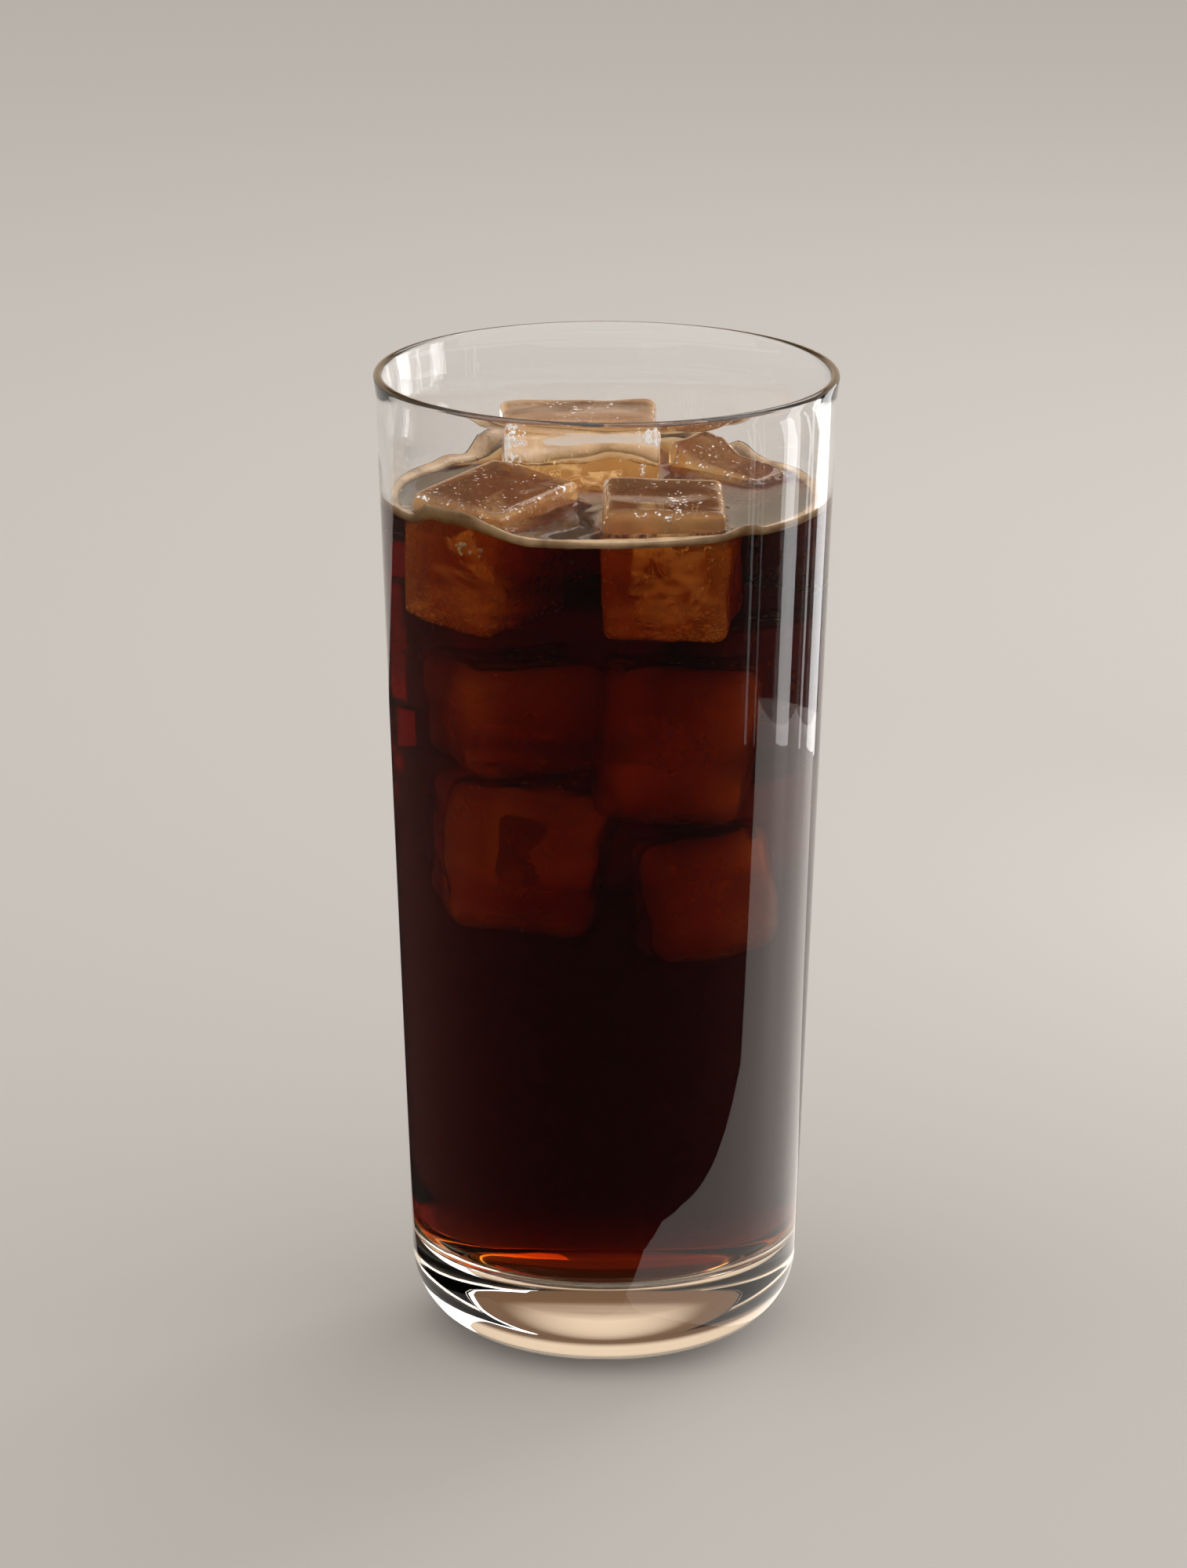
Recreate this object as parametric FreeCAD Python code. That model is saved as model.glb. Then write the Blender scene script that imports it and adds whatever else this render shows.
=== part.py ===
"""An iced coffee in its glass tumbler. Millimetres, +Z up, origin at the centre of the foot on the table."""

import FreeCAD, Part
import math
import os

V = FreeCAD.Vector

# Tumbler, outside
HEIGHT = 151.0
RIM_RADIUS = 35.0  # widest point of the fire-polished rim
WALL_TOP = 148.0  # height where the rim swells out of the wall
WALL_TOP_RADIUS = 34.7
HEEL_TOP = 12.2  # height where the rounded heel meets the wall, and the heel's radius
HEEL_RADIUS_AT_WALL = 29.76  # outside radius of the glass there
FOOT_WIDTH = 1.2  # flat ring that the tumbler stands on
PUNT_DEPTH = 5.2  # recess pressed up into the underside, at its middle
PUNT_CORNER = 2.8  # radius between the recess's side and its ceiling
PUNT_DOME = 0.3  # how much the ceiling sinks from its middle to that corner

# Tumbler, inside
RIM_THICKNESS = 1.35
NECK_HOLLOW = 0.03  # how far the neck under the rim curves in from a straight line
INSIDE_TOP_RADIUS = 33.25  # at WALL_TOP
INSIDE_LOW = 20.0
INSIDE_LOW_RADIUS = 28.0  # at INSIDE_LOW
FLOOR = 14.0  # height of the inside floor, so the thickness of the solid base
FLOOR_CORNER = 5.5  # radius between the inside wall and floor

# Coffee
LEVEL = 131.9  # height of the coffee's surface
MENISCUS = 0.9  # how far the surface climbs at the wall

# Ice: name, centre of the top face, (length, width, height), (tilt about x, about y, turn about z)
# in degrees, and how much narrower the foot is than the top.
ICE = {
    "ice_front_left": ((-16.1, -9.9, 135.9), (20.8, 16.6, 19.5), (5.7, -6.0, 55.4), 0.95),
    "ice_front_right": ((8.5, -18.0, 136.6), (18.0, 17.4, 20.0), (4.6, 1.2, 0.6), 0.97),
    "ice_back": ((-4.1, 15.4, 140.6), (24.2, 22.6, 21.0), (-0.3, -0.5, 2.1), 0.92),
    "ice_back_right": ((19.0, 15.6, 133.9), (19.0, 9.0, 18.0), (4.0, 6.5, -44.0), 0.9),
}
ICE_EDGE = 2.6  # melted radius along the edges of the ice
ICE_SKEW = 0.6  # how far a melted corner is out of square


def line(a, b):
    return Part.LineSegment(V(a[0], 0, a[1]), V(b[0], 0, b[1])).toShape()


def arc(a, through, b):
    return Part.Arc(V(a[0], 0, a[1]), V(through[0], 0, through[1]), V(b[0], 0, b[1])).toShape()


def revolved(edges):
    """Turns a closed outline, which starts and ends on the axis, into a solid."""
    face = Part.Face(Part.Wire(edges))
    return face.revolve(V(0, 0, 0), V(0, 0, 1), 360)


def inside_radius(z):
    """Radius of the inside wall at height z."""
    taper = (INSIDE_TOP_RADIUS - INSIDE_LOW_RADIUS) / (WALL_TOP - INSIDE_LOW)
    return INSIDE_LOW_RADIUS + taper * (z - INSIDE_LOW)


def floor_corner():
    """The inside corner: where its arc leaves the floor, its middle, and where it meets the wall."""
    lean = math.atan((INSIDE_TOP_RADIUS - INSIDE_LOW_RADIUS) / (WALL_TOP - INSIDE_LOW))
    centre_z = FLOOR + FLOOR_CORNER
    centre_r = inside_radius(centre_z) - FLOOR_CORNER / math.cos(lean)
    end = (centre_r + FLOOR_CORNER * math.cos(lean), centre_z - FLOOR_CORNER * math.sin(lean))
    half = (lean + math.pi / 2) / 2
    middle = (
        centre_r + FLOOR_CORNER * math.sin(half),
        centre_z - FLOOR_CORNER * math.cos(half),
    )
    return (centre_r, FLOOR), middle, end


def tumbler():
    """The clear glass: a rounded heel, a thin tapered wall and a fire-polished rim."""
    rim_z = HEIGHT - RIM_THICKNESS / 2
    rim_inside = RIM_RADIUS - RIM_THICKNESS
    foot_outer = HEEL_RADIUS_AT_WALL - HEEL_TOP
    foot_inner = foot_outer - FOOT_WIDTH
    ceiling = PUNT_DEPTH - PUNT_DOME
    ceiling_edge = foot_inner - PUNT_CORNER
    shoulder = PUNT_CORNER * (1 - math.sqrt(0.5))
    diagonal = HEEL_TOP * (1 - math.sqrt(0.5))
    neck_z = (rim_z + WALL_TOP) / 2
    corner_floor, corner_middle, corner_wall = floor_corner()
    outline = [
        arc((0, PUNT_DEPTH), (ceiling_edge / 2, PUNT_DEPTH - PUNT_DOME / 4), (ceiling_edge, ceiling)),
        arc(
            (ceiling_edge, ceiling),
            (foot_inner - shoulder, ceiling - shoulder),
            (foot_inner, ceiling - PUNT_CORNER),
        ),
        line((foot_inner, ceiling - PUNT_CORNER), (foot_inner, 0)),
        line((foot_inner, 0), (foot_outer, 0)),
        arc(
            (foot_outer, 0),
            (HEEL_RADIUS_AT_WALL - diagonal, diagonal),
            (HEEL_RADIUS_AT_WALL, HEEL_TOP),
        ),
        line((HEEL_RADIUS_AT_WALL, HEEL_TOP), (WALL_TOP_RADIUS, WALL_TOP)),
        arc(
            (WALL_TOP_RADIUS, WALL_TOP),
            ((WALL_TOP_RADIUS + RIM_RADIUS) / 2 - NECK_HOLLOW, neck_z),
            (RIM_RADIUS, rim_z),
        ),
        arc(
            (RIM_RADIUS, rim_z),
            (RIM_RADIUS - RIM_THICKNESS / 2, HEIGHT),
            (rim_inside, rim_z),
        ),
        line((rim_inside, rim_z), (INSIDE_TOP_RADIUS, WALL_TOP)),
        line((INSIDE_TOP_RADIUS, WALL_TOP), corner_wall),
        arc(corner_wall, corner_middle, corner_floor),
        line(corner_floor, (0, FLOOR)),
        line((0, FLOOR), (0, PUNT_DEPTH)),
    ]
    return revolved(outline)


def drink():
    """The coffee as if there were no ice in it, with its surface drawn up at the wall."""
    corner_floor, corner_middle, corner_wall = floor_corner()
    edge_r = inside_radius(LEVEL + MENISCUS)
    lip = MENISCUS * (1 - math.sqrt(0.5))
    outline = [
        line((0, FLOOR), corner_floor),
        arc(corner_floor, corner_middle, corner_wall),
        line(corner_wall, (edge_r, LEVEL + MENISCUS)),
        arc(
            (edge_r, LEVEL + MENISCUS),
            (edge_r - lip, LEVEL + lip),
            (edge_r - MENISCUS, LEVEL),
        ),
        line((edge_r - MENISCUS, LEVEL), (0, LEVEL)),
        line((0, LEVEL), (0, FLOOR)),
    ]
    return revolved(outline)


def ice_block(size, taper):
    """A half-melted ice cube below the origin: tapered, a little out of square, with rounded edges."""
    length, width, height = size
    outlines = []
    for z, scale in ((0, 1), (-height, taper)):
        corners = []
        for sx, sy in ((-1, -1), (1, -1), (1, 1), (-1, 1)):
            skew = ICE_SKEW * sx * sy
            corners.append(V(sx * (length * scale + skew) / 2, sy * (width * scale - skew) / 2, z))
        outlines.append(Part.makePolygon(corners + corners[:1]))
    block = Part.makeLoft(outlines, True, True)
    return block.makeFillet(ICE_EDGE, block.Edges)


def placed(shape, at, turns):
    """Tilts a shape about x, then y, turns it about z, and moves it to its place."""
    tilt_x, tilt_y, turn_z = turns
    shape.rotate(V(0, 0, 0), V(1, 0, 0), tilt_x)
    shape.rotate(V(0, 0, 0), V(0, 1, 0), tilt_y)
    shape.rotate(V(0, 0, 0), V(0, 0, 1), turn_z)
    shape.translate(V(*at))
    return shape


def main():
    os.makedirs("parts", exist_ok=True)
    ice = {}
    for name, (top, size, turns, taper) in ICE.items():
        ice[name] = placed(ice_block(size, taper), top, turns)
    coffee = drink()
    for block in ice.values():
        coffee = coffee.cut(block)
    nodes = {"tumbler": tumbler(), "coffee": coffee.Solids[0], **ice}
    for name, shape in nodes.items():
        shape.exportStep(f"parts/{name}.step")
        print(name, "volume", round(shape.Volume / 1000, 2), "cm3, solids", len(shape.Solids))


main()
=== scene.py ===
# %% [markdown]
# # A tall iced coffee
# The object is a clear tumbler of black coffee with melting ice in it. Glass, ice and coffee have
# hardly any colour on their surface: what is seen is how they bend light, and how much of it the
# coffee swallows. So every piece is a closed body with a true thickness, and the materials are
# dielectrics with real refractive indices.

# %% Load the frame
import math
import random

import bpy
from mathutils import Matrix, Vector, noise
from mathutils.bvhtree import BVHTree


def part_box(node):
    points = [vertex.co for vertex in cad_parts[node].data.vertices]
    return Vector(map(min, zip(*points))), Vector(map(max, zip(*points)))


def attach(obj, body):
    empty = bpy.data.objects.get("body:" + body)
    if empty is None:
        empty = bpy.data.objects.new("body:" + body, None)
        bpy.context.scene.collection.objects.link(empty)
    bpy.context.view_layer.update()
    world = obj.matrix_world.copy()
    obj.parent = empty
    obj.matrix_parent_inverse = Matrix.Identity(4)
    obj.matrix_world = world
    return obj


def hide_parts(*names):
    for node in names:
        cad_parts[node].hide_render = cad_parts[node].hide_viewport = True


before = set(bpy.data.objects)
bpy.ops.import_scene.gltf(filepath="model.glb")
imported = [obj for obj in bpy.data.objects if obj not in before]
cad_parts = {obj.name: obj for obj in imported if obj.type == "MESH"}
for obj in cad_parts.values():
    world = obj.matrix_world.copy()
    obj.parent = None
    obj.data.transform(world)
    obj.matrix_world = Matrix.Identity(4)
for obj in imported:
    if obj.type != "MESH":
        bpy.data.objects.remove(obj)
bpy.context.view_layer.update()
MM = 0.001

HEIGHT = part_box("tumbler")[1].z
RIM_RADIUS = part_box("tumbler")[1].x
print("tumbler", round(HEIGHT / MM, 1), "mm high, rim radius", round(RIM_RADIUS / MM, 1), "mm")

# %% [markdown]
# ## Small helpers
# An operator works on whatever is selected, so each step begins from a clean selection with one
# active object. Finished pieces keep their place in the mesh, not in the object.


# %% Selecting and finishing
def only(piece):
    """Makes one object the whole selection, and the active one."""
    bpy.ops.object.select_all(action="DESELECT")
    piece.select_set(True)
    bpy.context.view_layer.objects.active = piece


def apply_place(piece):
    """Moves an object's own place, turn and scale into its mesh."""
    only(piece)
    bpy.ops.object.transform_apply(location=True, rotation=True, scale=True)


def apply_modifier(piece, kind, **settings):
    """Adds a modifier, sets it up and applies it."""
    only(piece)
    modifier = piece.modifiers.new(kind.lower(), kind)
    for key, value in settings.items():
        setattr(modifier, key, value)
    bpy.ops.object.modifier_apply(modifier=modifier.name)


def copy_of(piece, name):
    """A second object with its own mesh."""
    twin = piece.copy()
    twin.data = piece.data.copy()
    twin.name = name
    bpy.context.scene.collection.objects.link(twin)
    return twin


def join_into(piece, others):
    """Joins other meshes into a piece."""
    only(piece)
    for other in others:
        other.select_set(True)
    bpy.ops.object.join()


def grow(piece, distance):
    """Moves a piece's surface out along its normals, or in when the distance is negative."""
    only(piece)
    bpy.ops.object.mode_set(mode="EDIT")
    bpy.ops.mesh.select_all(action="SELECT")
    bpy.ops.transform.shrink_fatten(value=distance)
    bpy.ops.object.mode_set(mode="OBJECT")


def tris(piece):
    """How many triangles a piece makes."""
    piece.data.calc_loop_triangles()
    return len(piece.data.loop_triangles)


# %% [markdown]
# ## Turning a round body
# The tumbler and the drink are round, as if thrown on a wheel. A disc is added at the middle of
# the underside, then extruded and scaled ring by ring up the outside, over the rim and down the
# inside. The last disc closes the shape, so the wall has its real thickness everywhere. Spinning
# a half outline gives the same shape, but leaves doubled points at the seam and the poles to
# clean up.


# %% Outlines and turning
def arc(centre, radius, start, end, steps):
    """Points (radius, height) along an arc, from one angle to another in degrees."""
    points = []
    for i in range(steps + 1):
        angle = math.radians(start + (end - start) * i / steps)
        points.append((centre[0] + radius * math.cos(angle), centre[1] + radius * math.sin(angle)))
    return points


def straight(a, b, steps):
    """Points between a and b, without either end."""
    shares = [i / steps for i in range(1, steps)]
    return [(a[0] + (b[0] - a[0]) * share, a[1] + (b[1] - a[1]) * share) for share in shares]


def turned(name, outline, segments):
    """A closed round body from an outline of (radius, height) points."""
    bpy.ops.object.select_all(action="DESELECT")
    radius, height = outline[0]
    bpy.ops.mesh.primitive_circle_add(
        vertices=segments, radius=radius, fill_type="NGON", location=(0, 0, height)
    )
    piece = bpy.context.object
    piece.name = name
    apply_place(piece)
    bpy.ops.object.mode_set(mode="EDIT")
    bpy.ops.mesh.select_all(action="SELECT")
    for next_radius, next_height in outline[1:]:
        bpy.ops.mesh.extrude_region_move(
            TRANSFORM_OT_translate={"value": (0, 0, next_height - height)}
        )
        scale = next_radius / radius
        bpy.ops.transform.resize(value=(scale, scale, 1), center_override=(0, 0, 0))
        radius, height = next_radius, next_height
    bpy.ops.mesh.select_all(action="SELECT")
    bpy.ops.mesh.normals_make_consistent(inside=False)
    bpy.ops.object.mode_set(mode="OBJECT")
    bpy.ops.object.shade_smooth()
    return piece


# %% [markdown]
# ## The tumbler
# Pressed and fire-polished: a thick clear base with a round heel, a flat recess pressed up into
# the underside, a thin wall that leans out a little, and a rim swollen by the flame. The recess
# matters more than it seems: its ceiling mirrors the light that comes in at the heel and keeps
# the base bright.

# %% Tumbler sizes
SEGMENTS = 192
HEEL = 12.2 * MM  # radius of the rounded heel
HEEL_RADIUS_AT_WALL = 29.76 * MM
WALL_TOP = 148 * MM
WALL_TOP_RADIUS = 34.7 * MM
FOOT_WIDTH = 1.2 * MM
FOOT_EASE = 0.2 * MM  # softened inner edge of the foot
PUNT_DEPTH = 5.2 * MM  # recess under the base
PUNT_CORNER = 2.8 * MM
PUNT_DOME = 0.3 * MM
RIM_THICKNESS = 1.35 * MM
INSIDE_TOP_RADIUS = 33.25 * MM
INSIDE_LOW = 20 * MM
INSIDE_LOW_RADIUS = 28.0 * MM
FLOOR = 14.0 * MM
FLOOR_CORNER = 5.5 * MM
LEVEL = 131.9 * MM  # of the coffee in it
WET_LINE = (3, 2, 1, 0)  # rings above the level (mm), one of which is where the wetted glass ends
NECK_PINCH = 0.03 * MM  # how far the wall draws in below the rim
POLE = 1.0 * MM  # radius of the disc that closes a pole


def inside_radius(z):
    """Radius of the inside wall at height z."""
    taper = (INSIDE_TOP_RADIUS - INSIDE_LOW_RADIUS) / (WALL_TOP - INSIDE_LOW)
    return INSIDE_LOW_RADIUS + taper * (z - INSIDE_LOW)


def floor_outline(reach):
    """The inside corner from the wall down to the floor, moved out into the glass by reach."""
    centre = (inside_radius(FLOOR + FLOOR_CORNER) - FLOOR_CORNER, FLOOR + FLOOR_CORNER)
    return arc(centre, FLOOR_CORNER + reach, 0, -90, 12)


# %% Tumbler outline
def underside(foot_inner):
    """The recess, from its middle out to the foot."""
    edge = foot_inner - PUNT_CORNER
    radii = [POLE + (edge - POLE) * i / 10 for i in range(11)]
    ceiling = [(r, PUNT_DEPTH - PUNT_DOME * (r / edge) ** 2) for r in radii]
    corner = arc((edge, PUNT_DEPTH - PUNT_DOME - PUNT_CORNER), PUNT_CORNER, 90, 0, 8)
    return ceiling + corner[1:] + [(foot_inner, FOOT_EASE), (foot_inner + FOOT_EASE, 0)]


def tumbler_outline():
    """Up the outside, over the rim and down the inside, from underneath to the inside floor."""
    foot_outer = HEEL_RADIUS_AT_WALL - HEEL
    heel = arc((foot_outer, HEEL), HEEL, -90, 0, 24)
    wall_top = (WALL_TOP_RADIUS, WALL_TOP)
    rim_z = HEIGHT - RIM_THICKNESS / 2
    neck = ((WALL_TOP_RADIUS + RIM_RADIUS) / 2 - NECK_PINCH, (WALL_TOP + rim_z) / 2)
    rim = arc((RIM_RADIUS - RIM_THICKNESS / 2, rim_z), RIM_THICKNESS / 2, 0, 180, 12)
    inside_top = (INSIDE_TOP_RADIUS, WALL_TOP)
    corner = floor_outline(0)
    floor = [(corner[-1][0] + (POLE - corner[-1][0]) * i / 6, FLOOR) for i in range(1, 7)]
    outside = underside(foot_outer - FOOT_WIDTH) + heel + straight(heel[-1], wall_top, 12)
    over_rim = [wall_top, neck] + rim + straight(rim[-1], inside_top, 2) + [inside_top]
    wet_line = [(inside_radius(LEVEL + up * MM), LEVEL + up * MM) for up in WET_LINE]
    dry = straight(inside_top, wet_line[0], 4)
    wet = straight(wet_line[-1], corner[0], 10)
    return outside + over_rim + dry + wet_line + wet + corner + floor


tumbler = turned("clear_tumbler", tumbler_outline(), SEGMENTS)
print("tumbler mesh", tris(tumbler), "triangles")

# %% [markdown]
# ## The ice
# Blocks from a tray, half melted. A cube is subdivided and narrowed towards its foot, its sharp
# edges are found by their angle and bevelled, the whole is smoothed, and a soft cloud texture
# pushes its faces in and out as melting does. Sculpting by hand would do as well, but could not
# be repeated.

# %% One block of ice
ICE_CUTS = 5
SHARP = math.radians(60)
melt_texture = bpy.data.textures.new("melt", "CLOUDS")
melt_texture.noise_scale = 9 * MM
melt_texture.noise_depth = 1


def tray_block(name, size, taper, edge):
    """A block below the origin, narrowed towards its foot, with rounded edges."""
    height = size[2]
    bpy.ops.object.select_all(action="DESELECT")
    bpy.ops.mesh.primitive_cube_add(size=1, location=(0, 0, -height / 2))
    block = bpy.context.object
    block.name = name
    block.scale = size
    apply_place(block)
    bpy.ops.object.mode_set(mode="EDIT")
    bpy.ops.mesh.select_all(action="SELECT")
    bpy.ops.mesh.subdivide(number_cuts=ICE_CUTS)
    bpy.ops.object.mode_set(mode="OBJECT")
    for vertex in block.data.vertices:
        narrow = 1 + (taper - 1) * -vertex.co.z / height
        vertex.co.x *= narrow
        vertex.co.y *= narrow
    bpy.ops.object.mode_set(mode="EDIT")
    bpy.ops.mesh.select_all(action="DESELECT")
    bpy.ops.mesh.select_mode(type="EDGE")
    bpy.ops.mesh.edges_select_sharp(sharpness=SHARP)
    bpy.ops.mesh.bevel(offset=edge, segments=3, profile=0.5, affect="EDGES", clamp_overlap=True)
    bpy.ops.object.mode_set(mode="OBJECT")
    apply_modifier(block, "SUBSURF", levels=2, render_levels=2)
    return block


# %% [markdown]
# Frost is where a block turns cloudy: along its edges, at its foot, and in strokes that were
# bumped or scratched. It is written on the mesh as an attribute while the block still stands
# square, so that the material can read it later. Strokes are added once the block is in its
# place. A second attribute marks the top, where a film of coffee dries. A third marks the heart
# of each face: on a sunk block the veil, which is painted glow standing in for light seen through
# the coffee, fades towards its edges, so that the glow has no crisp outline.

# %% Frost and film as attributes
FROST_WIDTH = 1.3 * MM  # along the edges
FOOT_FROST = 3.9 * MM  # up from the foot
FILM_DEPTH = 1.2 * MM  # down from the top
SOFT_EDGE = 3.5 * MM  # how far a sunk block fades towards its edges


def mark_frost(block, size, edges, foot, soft):
    """Writes how cloudy and how coffee-stained each point of a square-standing block is."""
    length, width, height = size
    frost = block.data.attributes.new("frost", "FLOAT", "POINT")
    film = block.data.attributes.new("film", "FLOAT", "POINT")
    heart = block.data.attributes.new("heart", "FLOAT", "POINT")
    for i, vertex in enumerate(block.data.vertices):
        x, y, z = vertex.co
        depths = (length / 2 - abs(x), width / 2 - abs(y), height / 2 - abs(z + height / 2))
        from_edge = max(sorted(depths)[1], 0)
        at_foot = math.exp(-max(z + height, 0) / FOOT_FROST)
        frost.data[i].value = max(edges * math.exp(-from_edge / FROST_WIDTH), foot * at_foot)
        film.data[i].value = math.exp(min(z, 0) / FILM_DEPTH)
        # the heart shapes the painted glow veil on sunk blocks, fading it towards the edges
        heart.data[i].value = 1 - soft * math.exp(-from_edge / SOFT_EDGE)


# a stroke reaches further along this direction, back and down into the block
STROKE_DEEP = Vector((0, 0.96, -0.28))
STROKE_DEEPER = 0.7  # share of the distance along it that does not count


def add_stroke(block, start, end, radius, strength):
    """Adds a stroke of frost to a placed block, between two points in millimetres."""
    a, b = Vector(start) * MM, Vector(end) * MM
    along = b - a
    frost = block.data.attributes["frost"]
    for i, vertex in enumerate(block.data.vertices):
        share = 0
        if along.length > 0:
            share = min(max((vertex.co - a).dot(along) / along.length_squared, 0), 1)
        offset = vertex.co - a - along * share
        offset -= STROKE_DEEP * offset.dot(STROKE_DEEP) * STROKE_DEEPER
        away = offset.length / (radius * MM)
        frost.data[i].value = max(frost.data[i].value, strength * math.exp(-(away**2)))


def ice_block(name, top, size, turns, taper, edge=1.5, melt=1.0, edges=0.8, foot=0.9, soft=0):
    """A worn block, given the middle of its top face, its size (mm) and its turns in degrees."""
    size = [s * MM for s in size]
    block = tray_block(name, size, taper, edge * MM)
    mark_frost(block, size, edges, foot, soft)
    block.rotation_euler = [math.radians(t) for t in turns]
    block.location = [t * MM for t in top]
    apply_place(block)
    apply_modifier(
        block,
        "DISPLACE",
        texture=melt_texture,
        texture_coords="GLOBAL",
        strength=melt * MM,
        mid_level=0.5,
    )
    bpy.ops.object.shade_smooth()
    return block


# %% [markdown]
# Four blocks stand out of the coffee and take the place of the frame's blocks. Eight others lie
# sunk under them, guessed from what glows through the coffee, down to where the drink turns
# black. These are worn rounder than the shown ones.

# %% The blocks in the glass
# the middle of a block's top (mm), its size (mm), its turns (degrees) and how narrow its foot is
SHOWN_ICE = {
    "ice_front_left": ((-16.1, -9.9, 135.9), (20.8, 16.6, 19.5), (5.7, -6.0, 55.4), 0.95),
    "ice_front_right": ((8.5, -18.0, 136.6), (18.0, 17.4, 20.0), (4.6, 1.2, 0.6), 0.97),
    "ice_back": ((-4.1, 15.4, 140.6), (24.2, 22.6, 21.0), (-0.3, -0.5, 2.1), 0.92),
    "ice_back_right": ((19.0, 15.6, 133.9), (19.0, 9.0, 18.0), (4.0, 6.5, -44.0), 0.9),
}
SUNK_ICE = [
    ((-11.5, -10.5, 111.0), (21, 18, 17), (4, -3, 14), 0.95),
    ((9.8, -11.5, 110.5), (21, 19, 24), (-3, 4, 8), 0.95),
    ((-9.8, -9.5, 91.5), (22, 20, 23), (3, 4, -7), 0.95),
    ((11.8, -9.5, 83.5), (19, 18, 19), (-4, -6, 14), 0.95),
    ((-5.5, 14.0, 116.0), (23, 20, 22), (3, 4, 8), 0.95),
    ((17.0, 9.5, 112.5), (16, 15, 20), (2, 3, 30), 0.95),
    ((-4.5, 13.0, 91.0), (22, 20, 21), (-4, 2, 17), 0.95),
    ((16.0, 8.5, 89.0), (15, 15, 18), (5, -3, 50), 0.95),
]
# a stroke's block, its two ends (mm), its radius (mm) and its strength
STROKES = [
    ("ice_front_right", (1.5, -27, 118.8), (16, -27, 118.8), 1.8, 0.8),
    ("ice_front_right", (3.8, -27, 121.5), (4.6, -27, 121.3), 0.9, 1.4),
    ("ice_front_right", (8.5, -27, 122.0), (11.5, -27, 121.0), 0.9, 1.2),
    ("ice_front_left", (-23, -18, 121.5), (-11, -24, 120.5), 1.5, 0.9),
    ("ice_front_left", (-17, -22, 122.0), (-16, -22, 122.0), 0.9, 1.2),
    ("ice_front_left", (-2.4, -11.0, 134.5), (-8.5, -20.6, 134.0), 1.5, 1.6),
    ("ice_front_left", (-8.5, -20.6, 134.0), (-14.0, -28.6, 133.5), 1.5, 1.6),
    ("ice_front_left", (-3.5, -8.5, 137), (-9.6, -21.5, 136), 0.6, 0.8),
    ("ice_front_left", (-14.2, -27.4, 134.5), (-14.2, -25.0, 134.8), 1.6, 0.8),
    ("ice_front_left", (-20.4, -6.2, 137), (-13.8, -10.1, 137), 0.9, 0.45),
    ("ice_back", (-15.5, 6, 140), (-15.5, 6, 134), 3.2, 0.95),
    ("ice_back", (-15.0, 5.0, 141), (-8.0, 5.0, 141), 1.8, 0.8),
    ("ice_back", (4.5, 4.5, 141), (7.5, 5.5, 139), 2.6, 0.9),
    ("ice_back", (2.0, 4.0, 139), (2.0, 4.0, 134), 1.0, 0.6),
    ("ice_back", (5.6, 4.0, 139), (5.6, 4.0, 134), 0.9, 0.7),
    ("ice_back_right", (10, 10.5, 134.5), (9.5, 14, 134), 2.0, 0.9),
    ("ice_front_right", (17.8, -20.5, 133.5), (18.0, -22.0, 132.3), 1.3, 1.0),
    ("ice_front_right", (9.0, -19.0, 136.6), (10.5, -25.0, 136.0), 3.0, 0.55),
    ("ice_front_right", (4.0, -22.5, 136.3), (9.0, -22.0, 136.3), 1.2, 0.45),
]
shown = {name: ice_block("clear_" + name, *facts) for name, facts in SHOWN_ICE.items()}
WORN = {"edge": 4.2, "melt": 2.4, "edges": 0.1, "foot": 0.3, "soft": 0.95}
sunk = [ice_block(f"sunk_ice_{i}", *facts, **WORN) for i, facts in enumerate(SUNK_ICE)]
for node, start, end, radius, strength in STROKES:
    add_stroke(shown[node], start, end, radius, strength)
print("blocks of ice:", len(shown), "shown and", len(sunk), "sunk")

# %% [markdown]
# The frost itself is a skin just inside each block. It is a separate piece, because clear ice and
# cloudy ice are two materials: one bends light and the other scatters it. Below the level the
# skin also carries painted glow, an amber veil standing in for light seen through the coffee.

# %% Frost skins
FROST_DEPTH = 0.05 * MM
frosts = []
for block in [*shown.values(), *sunk]:
    skin = copy_of(block, block.name + "_frost")
    grow(skin, -FROST_DEPTH)
    frosts.append(skin)

# %% [markdown]
# Melting ice is also cracked. Each of the four shown blocks has two thin crumpled sheets inside
# it, one through its middle and one near its foot, on which the material draws fine bright
# threads. The sheets lie mostly below the level, and their amber colour is painted glow: it stands
# in for light that reaches them through the coffee.

# %% Crack sheets
crack_texture = bpy.data.textures.new("crumple", "CLOUDS")
crack_texture.noise_scale = 7 * MM
CRACK_WIDTH = 0.04 * MM
CRUMPLE = 5 * MM
SHEET_SHARE = 0.6  # of a block's length and width
# each sheet's turns (degrees) and its share of the block's depth
SHEETS = {"crack": ((38, 12, 10), 0.55), "foot_crack": ((8, -20, 40), 0.82)}


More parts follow.
